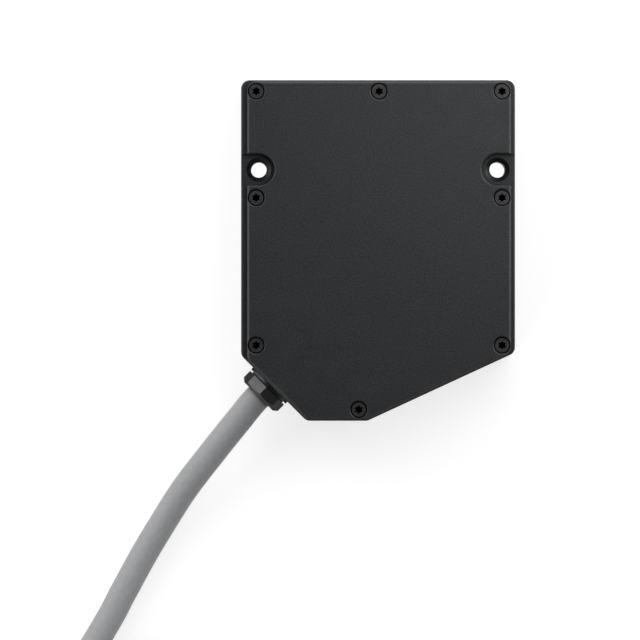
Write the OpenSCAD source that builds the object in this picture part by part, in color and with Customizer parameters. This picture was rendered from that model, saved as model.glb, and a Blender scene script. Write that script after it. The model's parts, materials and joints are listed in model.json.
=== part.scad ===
// Laser displacement sensor: a flat sealed housing with triangulation optics inside,
// a screwed cover, two through holes for mounting and a fixed cable with a round plug.
// X runs across the sensor, Y towards its optical front face, Z up from its back face.

/* [Housing] */
// Width across the two long sides
body_w = 78; // [77:0.5:86]
// Length from the rear edge to the optical front face
body_l = 97; // [95:0.5:106]
// Thickness from the back face to the top of the cover
body_t = 30; // [29.5:0.5:34]
// Thickness of the side walls
wall = 3; // [2.6:0.1:3.2]
// Thickness of the floor
floor_t = 3; // [2.6:0.1:3.4]
// Radius of the upright corners
corner_r = 2.4; // [1.6:0.1:3]
// Legs of the 45 degree corner that carries the cable gland
gland_leg = 18.6; // [18.4:0.2:20.4]
// Rise of the slanted rear edge
taper_rise = 19.4; // [17:0.2:20]
// Run of the slanted rear edge
taper_run = 42; // [40:0.5:44]
// Bevel along the rims of the housing
rim_bevel = 0.3; // [0.2:0.1:0.5]
// Wall left around the threaded holes for the cover screws
boss_wall = 2; // [1.6:0.1:2.2]

/* [Cover] */
// Thickness of the cover plate
cover_t = 2.6; // [2.3:0.1:3]
// Thickness of the flat gasket under the cover
gasket_t = 0.5; // [0.3:0.1:0.8]
// Ledge of the housing left free along the long sides, on average
ledge_side = 1.45; // [1.2:0.05:1.8]
// Ledge of the housing left free along the other edges
ledge_end = 0.4; // [0.3:0.05:0.8]
// Offset of the cover from the middle of the housing, towards the right side
cover_shift = 0.3; // [0:0.05:0.4]
// Radius of the cover's corners
cover_r = 2.6; // [2.4:0.1:3]
// Bevel along the top edge of the cover
cover_bevel = 0.55; // [0.3:0.05:0.7]

/* [Cover screws] */
// Thread diameter
screw_d = 2; // [1.8:0.1:2.2]
// Length under the head
screw_l = 8; // [6:0.5:10]
// Head diameter
screw_head_d = 4.05; // [3.6:0.05:4.2]
// Head height
screw_head_h = 1.4; // [1.1:0.1:1.5]
// Width of the star recess across its points
star_d = 2.4; // [2:0.1:2.6]
// Depth of the star recess
star_h = 0.9; // [0.6:0.1:1]
// Counterbore diameter
counterbore_d = 4.85; // [4.5:0.05:4.9]
// Counterbore depth
counterbore_h = 1.7; // [1.5:0.1:1.8]
// Bevel at the mouth of each counterbore
counterbore_bevel = 0.25; // [0.1:0.05:0.3]
// Distance of the side screws from the cover's long edges
screw_side = 2.55; // [2.5:0.05:3]
// Distance of the front and rear screws from the cover's ends
screw_end = 2.8; // [2.6:0.1:3.2]
// Distance of the middle side screws from the front face
mid_screw_back = 33.5; // [33.2:0.1:35]
// Distance of the rear side screws from the rear edge
side_screw_rear = 21.5; // [20.5:0.1:24]
// Distance of the rear screw from the left side
rear_screw_side = 33.2; // [30:0.1:34]

/* [Mount holes] */
// Distance of each hole from its long side
mount_side = 5; // [4.6:0.1:5.6]
// Distance of the holes from the front face
mount_back = 25.5; // [25:0.1:25.8]
// Hole diameter, clearance for an M4 screw
mount_d = 4.5; // [4.2:0.1:4.8]
// Countersink diameter
countersink_d = 7; // [6:0.2:8]
// Radius of the side pocket around each hole
pocket_r = 4.5; // [4.4:0.05:4.8]
// Depth of the side pocket below the ledge
pocket_h = 1.5; // [1:0.1:2.5]
// Wall left around the side pocket
pocket_wall = 1.7; // [1.2:0.05:1.8]
// Notch in the cover, wider than the pocket all round by this much
notch_gap = 0.1; // [0.05:0.05:0.4]
// Bevel along the notch in the cover
notch_bevel = 0.25; // [0.1:0.05:0.5]

/* [Windows] */
// Thickness of the window panes
pane_t = 1.2; // [1:0.1:1.3]
// Thickness of the seal behind each pane
seal_t = 0.3; // [0.2:0.1:0.4]
// Depth of the panes below the front face
pane_set = 0.2; // [0.1:0.05:0.3]
// Rim that carries each pane
pane_rim = 1.5; // [1.2:0.1:1.8]
// Diameter of the laser window
laser_pane_d = 9; // [8:0.2:10]
// Width of the receiver window
receiver_pane_w = 17; // [16:0.5:18]
// Height of the receiver window
receiver_pane_h = 12; // [11:0.5:13]
// Corner radius of the receiver window
receiver_pane_r = 2; // [1.8:0.1:3]

/* [Optics] */
// Height of the optical plane above the back face
optics_z = 13.5; // [13:0.1:13.8]
// Distance from the front face to the middle of the measuring range
standoff = 80; // [75:1:95]
// Gap between the front wall and the laser barrel
laser_setback = 3.5; // [3:0.1:4]
// Wall of the laser barrel
laser_wall = 1.5; // [1.2:0.1:1.6]
// Laser barrel length
laser_l = 24; // [23:0.5:25]
// Diameter of the collimator lens
collimator_d = 9; // [8:0.2:9.4]
// Thickness of the clamp block around the laser barrel
laser_web = 1.5; // [1.2:0.1:1.6]
// Length of the clamp block, feet left out
laser_block_l = 14; // [13:0.5:14.5]
// Thickness of the feet of the clamp block
foot_t = 3; // [2.8:0.1:3.2]
// Distance of the receiver lens from the right side
receiver_side = 23.5; // [23:0.1:24]
// Distance of the receiver lens from the front face
receiver_back = 16.5; // [16:0.1:17]
// Wall of the receiver barrel
receiver_wall = 1.5; // [1.2:0.1:1.6]
// Receiver barrel length
receiver_l = 16; // [15:0.5:17]
// Diameter of the receiver lenses
receiver_lens_d = 15; // [14:0.2:15.4]
// Shoulder of the cradle on each side of the receiver barrel
cradle_side = 4; // [3.8:0.1:4.4]
// Length of the cradle along the barrel
cradle_l = 9; // [8:0.5:10]
// Web of the strap over the receiver barrel
strap_web = 2; // [1.6:0.1:2.2]
// Distance from the receiver lens to the image sensor
image_distance = 28; // [27:0.5:29]
// Length of the image sensor
sensor_l = 13; // [12:0.5:14]
// Length of the image sensor's board
sensor_board_l = 16; // [15:0.5:17]

/* [Boards] */
// Thickness of the circuit boards
board_t = 1.6; // [1.4:0.1:1.8]
// Height of the posts under the main board
post_h = 18; // [17.8:0.1:18.4]
// Radius of the posts
post_r = 2.5; // [2.2:0.1:2.8]
// Gap from the outer faces of the housing to the edge of the main board
board_margin = 8; // [7.5:0.1:8.5]
// Distance of the main board from the front face
board_back = 36.5; // [36.5:0.1:38]
// Side of the signal processor
processor_w = 14; // [12:0.5:16]
// Length of the screws inside the housing
inner_screw_l = 5; // [4.6:0.1:5.2]

/* [Gland] */
// Height of the gland above the back face
gland_z = 13.5; // [13:0.1:13.9]
// Shift of the gland from the middle of its face towards the long side
gland_shift = 1.4; // [0:0.1:2]
// Collar diameter
collar_d = 13.9; // [13:0.1:15]
// Collar thickness
collar_h = 0.85; // [0.6:0.05:1.2]
// Thickness of the washer between collar and nut
gland_washer_h = 0.48; // [0.3:0.02:0.8]
// Diameter of the gland's thread
gland_thread_d = 11; // [10.6:0.1:11.4]
// Width of the eight-sided nut across its corners
nut_d = 13.7; // [13.2:0.1:14.5]
// Length of the nut
nut_h = 3.5; // [3.2:0.1:5]
// Length of the tapered end of the nut
nut_taper_h = 0.95; // [0.6:0.05:1.2]

/* [Cable] */
// Cable diameter
cord_d = 7.8; // [7.6:0.1:8]
// Distance from turn to turn in the coil
coil_pitch = 8.2; // [8.1:0.1:8.6]
// Radius of the coil's outer turn
coil_r = 58.8; // [58:0.2:60]
// Turns of the coil's lower layer
lower_turns = 3.25; // [3:0.05:3.5]
// Thickness of the straps around the coil
tie_t = 0.8; // [0.6:0.1:1]
// Angle that each strap covers
tie_angle = 14; // [10:1:18]

/* [Plug] */
// Diameter of the knurled ring
plug_d = 14.4; // [14:0.1:15]
// Length of the moulded body
plug_l = 30; // [28:0.5:34]
// Length of the knurled ring with its threaded sleeve
plug_ring_l = 17; // [16:0.5:19]
// Pins
plug_pins_n = 5; // [3:1:5]

/* [Fits] */
// Clearance all round between a screw and its hole, a pane and its recess, a lens and its bore
fit = 0.02; // [0.01:0.01:0.03]
// Clearance between neighbouring pieces inside the housing
part_gap = 0.3; // [0.2:0.05:0.4]

/* [Hidden] */
$fn = 64;
round_fn = 32;

// Reach of a cut past the face that it opens
over = 1;

// Main planes
half_w = body_w / 2;
front_y = body_l / 2;
rear_y = -body_l / 2;
cover_z = body_t - cover_t;
housing_h = cover_z - gasket_t;
pocket_z = housing_h - pocket_h;
inner_front_y = front_y - wall;

// Outline of the housing, counter-clockwise from the front right corner
outline = [
    [half_w, front_y],
    [-half_w, front_y],
    [-half_w, rear_y + gland_leg],
    [-half_w + gland_leg, rear_y],
    [half_w - taper_run, rear_y],
    [half_w, rear_y + taper_rise]
];
cover_insets = [
    ledge_end, ledge_side + cover_shift, ledge_end, ledge_end, ledge_end, ledge_side - cover_shift
];

// Cover screws
boss_r = screw_d / 2 + boss_wall;
screw_x = half_w - ledge_side - screw_side;
screw_front_y = front_y - ledge_end - screw_end;
screw_rear_y = rear_y + ledge_end + screw_end;
cover_screw_places = [
    for (x = [-screw_x, screw_x], y = [screw_front_y, front_y - mid_screw_back, rear_y + side_screw_rear])
        [x + cover_shift, y],
    [cover_shift, screw_front_y],
    [cover_shift - half_w + rear_screw_side, screw_rear_y]
];
screw_seat_z = body_t - counterbore_h;
star_lobe_at = 0.55;
star_lobe_size = 0.38;
tip_room = 0.5;

// Mount holes
mount_y = front_y - mount_back;
mount_x = half_w - mount_side;
mount_places = [[-mount_x, mount_y], [mount_x, mount_y]];
mount_boss_r = pocket_r + pocket_wall;
notch_r = pocket_r + notch_gap;

// Triangulation: the receiver looks at the middle of the range on the laser line, and the plane
// of the image sensor meets the plane of the lens on that line
laser_d = collimator_d + 2 * laser_wall;
laser_block_w = laser_d + 2 * laser_web;
laser_x = -mount_x + mount_boss_r + part_gap + laser_block_w / 2;
receiver_x = half_w - receiver_side;
receiver_y = front_y - receiver_back;
receiver_tilt = atan((receiver_x - laser_x) / (receiver_back + standoff));
receiver_axis = [-sin(receiver_tilt), cos(receiver_tilt)];
image_place = [receiver_x, receiver_y] - image_distance * receiver_axis;
plane_meet = [laser_x, receiver_y + (laser_x - receiver_x) * tan(receiver_tilt)];
sensor_angle = atan2(image_place.y - plane_meet.y, image_place.x - plane_meet.x);
receiver_pane_x = receiver_x - receiver_back * tan(receiver_tilt);
pane_recess = pane_t + seal_t + pane_set;
pane_least_r = 0.5;

// Laser stack, from the front of the barrel to the board behind it
laser_front_y = inner_front_y - laser_setback;
laser_mid_y = laser_front_y - laser_l / 2;
laser_rear_y = laser_front_y - laser_l;
laser_board_gap = 4;
laser_board_y = laser_rear_y - laser_board_gap;
foot_hole_in = 2.5;
laser_foot_places = [
    for (s = [-1, 1])
        [laser_x + s * (laser_block_w / 2 - foot_hole_in), laser_mid_y + s * (laser_block_l + laser_l) / 4]
];
receiver_d = receiver_lens_d + 2 * receiver_wall;
cradle_w = receiver_d + 2 * cradle_side;
cradle_hole_wall = 0.9;
cradle_screw_x = receiver_d / 2 + screw_d / 2 + cradle_hole_wall;
strap_z = optics_z + receiver_d / 2 + strap_web;

// Boards
board_z = floor_t + post_h;
board_top_z = board_z + board_t;
board_front_y = front_y - board_back;
board_corner_r = 1.5;
post_side = 10.5;
post_back = 5;
mid_post_x = 3;
right_post_side = 11;
right_post_up = 7.3;
rear_post_in = 5.8;
rear_post_up = 11.5;
post_places = [
    [-half_w + post_side, board_front_y - post_back],
    [mid_post_x, board_front_y - post_back],
    [half_w - right_post_side, rear_y + taper_rise + right_post_up],
    [-half_w + gland_leg + rear_post_in, rear_y + rear_post_up]
];

// Image sensor stack, measured along the normal of the sensor plane
sensor_h = 9;
sensor_t = 2;
sensor_frame = 1;
sensor_recess = 0.5;
sensor_board_low = 4.5;
sensor_board_gap = 0.5;
sensor_board_high = board_z - sensor_board_gap;
sensor_bracket_t = 3.6;
sensor_foot_out = 5;
sensor_foot_l = sensor_bracket_t + sensor_foot_out;
sensor_foot_x = 5;
sensor_board_back = sensor_t + board_t;
sensor_foot_y = -sensor_board_back - sensor_foot_l + foot_hole_in;
sensor_screw_out = 2.25;
sensor_screw_z = -sensor_h / 2 - sensor_screw_out;

// Gland, measured outward from the slanted face
gland_heading = 225;
gland_out = [cos(gland_heading), sin(gland_heading), 0];
gland_face = [
    -half_w + gland_leg / 2 - gland_shift * cos(45),
    rear_y + gland_leg / 2 + gland_shift * sin(45),
    gland_z
];
gland_spigot_d = 10;
gland_bore_gap = 0.1;
gland_bore_d = cord_d + 2 * gland_bore_gap;
locknut_h = 2.5;
locknut_d = 14;
gland_end = collar_h + gland_washer_h + nut_h;
nut_end_wall = 0.9;
gland_seal_h = 0.7;
gland_neck_l = gland_end - nut_end_wall - gland_seal_h;
tail_free = 4;
tail_l = wall + locknut_h + tail_free;
spigot_out = 0.5;
washer_in = 0.85;

// Cable route on the surface that the sensor lies on
cable_exit = gland_face + gland_out * gland_end;
route = [
    cable_exit,
    [-40.3, -49, 12.6],
    [-48.3, -59, 9.4],
    [-55.2, -68, 6.4],
    [-61, -77, 4.4],
    [-67, -87, 3.9],
    [-73, -98, 3.9],
    [-79, -109, 4]
];

// Coil of the spare length, just past the end of the route
coil_heading = 240;
coil_slack = 0.15;
coil_centre = [-50.7, -175.7];
lower_z = tie_t + coil_slack + cord_d / 2;
upper_z = lower_z + coil_pitch;
coil_in_r = coil_r - coil_pitch * lower_turns;
coil_ring_in = coil_in_r - cord_d / 2 - coil_slack;
coil_ring_out = coil_r + cord_d / 2 + 2 * coil_slack;
coil_ring_top = upper_z + cord_d / 2 + coil_slack;
lead_gap = 0.5;
lead_l = sqrt(pow(coil_ring_out + cord_d / 2 + lead_gap, 2) - pow(coil_r, 2));
coil_entry_angle = coil_heading - 90;
coil_entry = [
    coil_centre.x + coil_r * cos(coil_entry_angle),
    coil_centre.y + coil_r * sin(coil_entry_angle),
    lower_z
];
coil_heading_v = [cos(coil_heading), sin(coil_heading), 0];
lead_in = coil_entry - coil_heading_v * lead_l;
coil_leave = [coil_centre.x, coil_centre.y - coil_r, upper_z];
lead_out = coil_leave + [lead_l, 0, 0];
plug_z = plug_d / 2;
plug_drop_l = 26;
plug_drop_steps = 4;
cord_sides = 12;
plug_rear = [lead_out.x + plug_drop_l, lead_out.y, plug_z];
tie_places = [30, 205];

rubber = [0.10, 0.10, 0.11];
black_metal = [0.17, 0.18, 0.18];
steel = [0.16, 0.16, 0.17];
board_green = [0.10, 0.30, 0.20];
cable_grey = [0.45, 0.46, 0.46];

// Laser diode, collimator and the block that holds the barrel
diode_d = 5.6;
diode_flange_h = 1.2;
diode_cap_d = 3.6;
diode_cap_h = 2.3;
diode_cap_gap = 0.3;
diode_web = 2;
diode_pin_d = 0.45;
diode_pin_r = 1;
diode_pin_out = 0.5;
diode_pin_l = laser_rear_y - laser_board_y + board_t + diode_pin_out;
collimator_seat = 6;
collimator_rim = 2;
collimator_dome = 1;
retainer_h = 1.6;
set_screw_l = 3;
set_socket_h = 1.2;
laser_block_top = optics_z + laser_d / 2 + fit + set_screw_l;
laser_board_w = 13;
laser_board_h = 14;

// Receiver stack, measured from the rear of its barrel
lens_land = 1.1;
lens_seat = 1;
receiver_stop = 1.5;
filter_t = 1.5;
rear_lens_s = receiver_stop + filter_t;
rear_lens_rim = 2.2;
rear_lens_dome = 1.2;
spacer_h = 4;
front_lens_s = rear_lens_s + rear_lens_rim + spacer_h;
front_lens_rim = 2.6;
front_lens_dome = 1.4;
cradle_bite = 2;
floor_tip_room = 0.2;

// Board links and the wall between laser and receiver
link_w = 8;
link_t = 3.5;
link_h = 5.5;
baffle_t = 1.5;
baffle_gap = 3;
baffle_headroom = 1;
baffle_x = laser_x + laser_block_w / 2 + baffle_gap;
baffle_foot_w = 6;
baffle_foot_l = 9;
baffle_foot_y = laser_front_y - baffle_foot_l;
baffle_foot_places = [
    for (s = [1, 3]) [baffle_x + baffle_t + baffle_foot_w / 2, baffle_foot_y + s * baffle_foot_l / 4]
];

// Parts on the main board
chip_h = 1.4;
lead_h = 0.3;
pin_l = 0.8;
memory_w = 7;
memory_l = 10;
driver_w = 6;
capacitor_d = 5;
capacitor_h = 3;
capacitor_apart = 3;
passive_w = 0.8;
passive_l = 1.6;
passive_pitch = 2.6;
processor_x = 3;
processor_back = 26;
processor_place = [processor_x, board_front_y - processor_back];
memory_gap = 3;
memory_ahead = 8;
memory_place = [processor_place.x - processor_w - memory_gap, processor_place.y + memory_ahead];
driver_back = 5.5;
driver_place = [laser_x, board_front_y - driver_back];

// Cores between the cable's jacket and the header under the main board
core_d = 1.3;
core_n = 5;
core_lead = 2.4;
core_pitch = 1.25;
core_drop = 0.8;
core_rise = 0.9;
core_sides = 8;
header_pitch = 1.9;
header_back = 8;
header_s = tail_l + header_back;
header_w = 10;
header_l = 6;
header_h = 5;
gland_side = [-gland_out.y, gland_out.x, 0];

// Nut and coil details
nut_turn = 2;
nut_taper_r = 1.1;
coil_chamfer = 2;

// Plug details
relief_ribs = 4;
relief_r = 4.9;
relief_step = 0.3;
relief_pitch = 3;
relief_groove = 0.7;
relief_end = 2;
plug_body_r = 6.2;
plug_neck_l = 8;
plug_neck_r = 5;
plug_ring_s = plug_l - plug_neck_l + part_gap;
plug_grip_l = 8;
plug_thread_d = 11.8;
plug_sleeve_d = 9.4;
knurl_n = 24;
knurl_r = 0.7;
plug_seal_r = 0.55;
plug_insert_d = 8.4;
plug_insert_l = 6;
key_w = 1;
key_depth = 0.6;
key_up = 1;
plug_pin_ring = 2.6;
plug_pin_d = 1;
plug_pin_l = 8.5;

function unit(v) = v / norm(v);

// Outward normal of an edge of a counter-clockwise outline
function outward(p, q) = let (d = unit(q - p)) [d.y, -d.x];

// Point where the line through p along u meets the line through q along v
function meet(p, u, q, v) = p + u * cross(q - p, v) / cross(u, v);

// Outline moved inward by one distance for each edge
function inset(points, by) = [
    for (i = [0 : len(points) - 1])
        let (
            n = len(points),
            before = points[(i + n - 1) % n],
            here = points[i],
            after = points[(i + 1) % n],
            arriving = before - outward(before, here) * by[(i + n - 1) % n],
            leaving = here - outward(here, after) * by[i]
        )
        meet(arriving, here - before, leaving, after - here)
];

function even(by) = [for (p = outline) by];

// Upright slab with rounded corners and a bevel at its lower and upper rim
module slab(points, r, z, h, low = 0, high = 0) {
    hull()
        for (c = inset(points, even(r))) {
            translate([c.x, c.y, z + low])
                cylinder(r = r, h = h - low - high, $fn = round_fn);
            translate([c.x, c.y, z])
                cylinder(r = r - max(low, high), h = h, $fn = round_fn);
        }
}

module at(place, z) {
    translate([place.x, place.y, z]) children();
}

// Slot from a mount hole out through the side of the body
module side_slot(place, z, h, r_low, r_high) {
    hull()
        for (x = [place.x, sign(place.x) * (half_w + r_high)])
            translate([x, place.y, z])
                cylinder(r1 = r_low, r2 = r_high, h = h);
}

// Recess for a star driver
module star() {
    difference() {
        circle(d = star_d);
        for (a = [0 : 60 : 300])
            rotate(a) translate([star_d * star_lobe_at, 0]) circle(d = star_d * star_lobe_size);
    }
}

// Screw with its seat at height zero and its shank pointing down
module screw(l) {
    difference() {
        union() {
            cylinder(d = screw_head_d, h = screw_head_h);
            translate([0, 0, -l])
                cylinder(d = screw_d, h = l + screw_head_h / 2);
        }
        translate([0, 0, screw_head_h - star_h])
            linear_extrude(star_h + over) star();
    }
}

// Hole for a screw whose seat is at height zero
module screw_hole(l) {
    translate([0, 0, -l])
        cylinder(d = screw_d + 2 * fit, h = l + over);
}

// Cylindrical lens with a flat rim and a domed front
module lens(d, rim, dome) {
    dome_r = d / 2 - lens_land;
    ball_r = (dome_r * dome_r + dome * dome) / (2 * dome);
    union() {
        cylinder(d = d, h = rim);
        intersection() {
            translate([0, 0, rim / 2])
                cylinder(r = dome_r, h = rim + dome);
            translate([0, 0, rim + dome - ball_r])
                sphere(ball_r);
        }
    }
}

module tube(d_out, d_in, h) {
    difference() {
        cylinder(d = d_out, h = h);
        translate([0, 0, -over]) cylinder(d = d_in, h = h + 2 * over);
    }
}

// Local frames: the laser and receiver look along their own Z, the gland points outward along Z
module at_laser() {
    translate([laser_x, laser_rear_y, optics_z]) rotate([-90, 0, 0]) children();
}

module at_receiver() {
    translate([receiver_x, receiver_y, 0]) rotate(receiver_tilt) children();
}

module along_receiver(s) {
    at_receiver()
        translate([0, -receiver_l / 2 + s, optics_z]) rotate([-90, 0, 0]) children();
}

module at_sensor() {
    translate([image_place.x, image_place.y, 0]) rotate(sensor_angle) children();
}

module at_gland() {
    translate(gland_face) rotate([0, 90, gland_heading]) children();
}

module at_plug(s = 0) {
    translate(plug_rear) rotate([0, 90, 0]) translate([0, 0, s]) children();
}

// Places of the screws that hold pieces to the floor, in world coordinates
module floor_screw_places() {
    for (p = laser_foot_places)
        at(p, floor_t + foot_t) children();
    for (p = baffle_foot_places)
        at(p, floor_t + foot_t) children();
    at_sensor()
        for (x = [-sensor_foot_x, sensor_foot_x])
            translate([x, sensor_foot_y, floor_t + foot_t]) children();
}

module cradle_screw_places(z) {
    at_receiver()
        for (x = [-cradle_screw_x, cradle_screw_x])
            translate([x, 0, z]) children();
}

// Screws of the image sensor's board, seated on the front of that board
module sensor_screw_places() {
    at_sensor()
        for (x = [-sensor_foot_x, sensor_foot_x])
            translate([x, -sensor_t, optics_z + sensor_screw_z]) rotate([-90, 0, 0]) children();
}

module bosses() {
    for (p = cover_screw_places)
        at(p, 0) cylinder(r = boss_r, h = body_t);
    for (p = mount_places)
        at(p, 0) cylinder(r = mount_boss_r, h = body_t);
}

// Space inside the housing, with the bosses left standing
module cavity(z) {
    difference() {
        slab(inset(outline, even(wall)), corner_r, z, body_t - z + over);
        bosses();
    }
}

module receiver_opening(inset_by, depth) {
    w = receiver_pane_w + 2 * fit - 2 * inset_by;
    h = receiver_pane_h + 2 * fit - 2 * inset_by;
    r = receiver_pane_r + fit - inset_by;
    translate([receiver_pane_x, front_y + over, optics_z]) rotate([90, 0, 0])
        linear_extrude(depth + over) pane_shape(w, h, max(r, pane_least_r));
}

module pane_shape(w, h, r) {
    hull()
        for (x = [-1, 1], y = [-1, 1])
            translate([x * (w / 2 - r), y * (h / 2 - r)]) circle(r, $fn = round_fn);
}

module housing() {
    color(black_metal)
    difference() {
        union() {
            difference() {
                slab(outline, corner_r, 0, housing_h, rim_bevel, rim_bevel);
                cavity(floor_t);
            }
            for (p = post_places)
                at(p, floor_t / 2) cylinder(r = post_r, h = board_z - floor_t / 2);
        }
        for (p = cover_screw_places)
            at(p, screw_seat_z) screw_hole(screw_l + tip_room);
        for (p = mount_places) {
            side_slot(p, pocket_z, pocket_h + over, pocket_r, pocket_r);
            at(p, -over) cylinder(d = mount_d, h = body_t);
            at(p, pocket_z - (countersink_d - mount_d) / 2)
                cylinder(d1 = mount_d, d2 = countersink_d + over, h = (countersink_d - mount_d + over) / 2);
        }
        translate([laser_x, front_y + over, optics_z]) rotate([90, 0, 0]) {
            cylinder(d = laser_pane_d + 2 * fit, h = pane_recess + over);
            cylinder(d = laser_pane_d - 2 * pane_rim, h = wall + 2 * over);
        }
        receiver_opening(0, pane_recess);
        receiver_opening(pane_rim, wall + over);
        at_gland() translate([0, 0, -wall - over])
            cylinder(d = gland_spigot_d + 2 * fit, h = wall + 2 * over);
        for (p = post_places)
            at(p, board_top_z) screw_hole(inner_screw_l + tip_room);
        floor_screw_places() screw_hole(inner_screw_l + floor_tip_room);
        cradle_screw_places(floor_t) screw_hole(cradle_bite + floor_tip_room);
    }
}

module cover() {
    color(black_metal)
    difference() {
        slab(inset(outline, cover_insets), cover_r, cover_z, cover_t, 0, cover_bevel);
        for (p = mount_places) {
            side_slot(p, cover_z - over, cover_t + 2 * over, notch_r, notch_r);
            side_slot(p, body_t - notch_bevel, 2 * notch_bevel, notch_r, notch_r + 2 * notch_bevel);
        }
        for (p = cover_screw_places)
            at(p, screw_seat_z) {
                cylinder(d = counterbore_d, h = counterbore_h + over);
                translate([0, 0, counterbore_h - counterbore_bevel])
                    cylinder(
                        d1 = counterbore_d,
                        d2 = counterbore_d + 4 * counterbore_bevel,
                        h = 2 * counterbore_bevel
                    );
                screw_hole(cover_t);
            }
    }
}

module cover_gasket() {
    color(rubber)
    difference() {
        slab(inset(outline, cover_insets), cover_r, housing_h, gasket_t);
        cavity(housing_h - over);
        for (p = mount_places)
            side_slot(p, housing_h - over, gasket_t + 2 * over, notch_r, notch_r);
        for (p = cover_screw_places)
            at(p, screw_seat_z) screw_hole(cover_t + gasket_t);
    }
}

module cover_screws() {
    color(steel)
    for (p = cover_screw_places)
        at(p, screw_seat_z) screw(screw_l);
}

module laser_window() {
    color("darkslategray")
    translate([laser_x, front_y - pane_set, optics_z]) rotate([90, 0, 0])
        cylinder(d = laser_pane_d, h = pane_t);
}

module laser_window_seal() {
    color(rubber)
    translate([laser_x, front_y - pane_set - pane_t, optics_z]) rotate([90, 0, 0])
        tube(laser_pane_d, laser_pane_d - 2 * pane_rim, seal_t);
}

module receiver_window() {
    color("darkslategray")
    translate([receiver_pane_x, front_y - pane_set, optics_z]) rotate([90, 0, 0])
        linear_extrude(pane_t) pane_shape(receiver_pane_w, receiver_pane_h, receiver_pane_r);
}

module receiver_window_seal() {
    color(rubber)
    difference() {
        translate([receiver_pane_x, front_y - pane_set - pane_t, optics_z]) rotate([90, 0, 0])
            linear_extrude(seal_t) pane_shape(receiver_pane_w, receiver_pane_h, receiver_pane_r);
        receiver_opening(pane_rim, wall + over);
    }
}

module laser_barrel() {
    color("dimgray")
    at_laser()
        difference() {
            cylinder(d = laser_d, h = laser_l);
            translate([0, 0, laser_l - collimator_seat])
                cylinder(d = collimator_d + 2 * fit, h = collimator_seat + over);
            translate([0, 0, diode_flange_h + diode_web])
                cylinder(d = collimator_d - 2 * lens_seat, h = laser_l);
            translate([0, 0, -over])
                cylinder(d = diode_d + 2 * fit, h = diode_flange_h + over);
            cylinder(d = diode_cap_d + 2 * diode_cap_gap, h = laser_l / 2);
        }
}

module collimator_lens() {
    color("lightblue")
    at_laser() translate([0, 0, laser_l - collimator_seat])
        lens(collimator_d, collimator_rim, collimator_dome);
}

module lens_retainer() {
    color(steel)
    at_laser() translate([0, 0, laser_l - collimator_seat + collimator_rim])
        tube(collimator_d, collimator_d - 2 * lens_seat, retainer_h);
}

module laser_diode() {
    color("goldenrod")
    at_laser()
        union() {
            cylinder(d = diode_d, h = diode_flange_h);
            cylinder(d = diode_cap_d, h = diode_flange_h + diode_cap_h);
            for (a = [0 : 120 : 240])
                rotate(a) translate([diode_pin_r, 0, -diode_pin_l])
                    cylinder(d = diode_pin_d, h = diode_pin_l + diode_flange_h / 2);
        }
}

module laser_block() {
    color("gray")
    difference() {
        union() {
            translate([laser_x - laser_block_w / 2, laser_mid_y - laser_block_l / 2, floor_t])
                cube([laser_block_w, laser_block_l, laser_block_top - floor_t]);
            translate([laser_x - laser_block_w / 2, laser_rear_y, floor_t])
                cube([laser_block_w, laser_l, foot_t]);
        }
        at_laser() translate([0, 0, -over])
            cylinder(d = laser_d + 2 * fit, h = laser_l + 2 * over);
        translate([laser_x, laser_mid_y, laser_block_top]) screw_hole(set_screw_l + over);
        for (p = laser_foot_places)
            at(p, floor_t + foot_t) screw_hole(foot_t + over);
    }
}

module laser_set_screw() {
    color(steel)
    translate([laser_x, laser_mid_y, laser_block_top])
        difference() {
            translate([0, 0, -set_screw_l]) cylinder(d = screw_d, h = set_screw_l);
            translate([0, 0, -set_socket_h]) cylinder(d = screw_d / 2, h = set_socket_h + over, $fn = 6);
        }
}

module laser_board() {
    color(board_green)
    difference() {
        translate([laser_x - laser_board_w / 2, laser_board_y - board_t, optics_z - laser_board_h / 2])
            cube([laser_board_w, board_t, laser_board_h]);
        at_laser()
            for (a = [0 : 120 : 240])
                rotate(a) translate([diode_pin_r, 0, -diode_pin_l - over])
                    cylinder(d = diode_pin_d + 2 * fit, h = diode_pin_l);
    }
}

module laser_link() {
    color("ivory")
    translate([laser_x - link_w / 2, laser_board_y - board_t - link_t, board_z - link_h])
        cube([link_w, link_t, link_h]);
}

module receiver_barrel() {
    color("dimgray")
    along_receiver(0)
        difference() {
            cylinder(d = receiver_d, h = receiver_l);
            translate([0, 0, receiver_stop])
                cylinder(d = receiver_lens_d + 2 * fit, h = receiver_l);
            translate([0, 0, -over])
                cylinder(d = receiver_lens_d - 2 * receiver_stop, h = receiver_l);
        }
}

module bandpass_filter() {
    color("darkred")
    along_receiver(receiver_stop)
        cylinder(d = receiver_lens_d, h = filter_t);
}

module receiver_rear_lens() {
    color("lightblue")
    along_receiver(rear_lens_s)
        lens(receiver_lens_d, rear_lens_rim, rear_lens_dome);
}

module lens_spacer() {
    color("dimgray")
    along_receiver(rear_lens_s + rear_lens_rim)
        tube(receiver_lens_d, receiver_lens_d - 2 * lens_seat, spacer_h);
}

module receiver_front_lens() {
    color("lightblue")
    along_receiver(front_lens_s)
        lens(receiver_lens_d, front_lens_rim, front_lens_dome);
}

module receiver_retainer() {
    color(steel)
    along_receiver(front_lens_s + front_lens_rim)
        tube(receiver_lens_d, receiver_lens_d - 2 * lens_seat, retainer_h);
}

// Half of the clamp around the receiver barrel, between two heights
module clamp_half(z_low, z_high) {
    difference() {
        at_receiver()
            translate([-cradle_w / 2, -cradle_l / 2, z_low])
                cube([cradle_w, cradle_l, z_high - z_low]);
        along_receiver(-over)
            cylinder(d = receiver_d + 2 * fit, h = receiver_l + 2 * over);
        cradle_screw_places(strap_z) screw_hole(strap_z);
    }
}

module receiver_cradle() {
    color("gray") clamp_half(floor_t, optics_z - part_gap / 2);
}

module receiver_strap() {
    color("gray") clamp_half(optics_z + part_gap / 2, strap_z);
}

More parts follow.
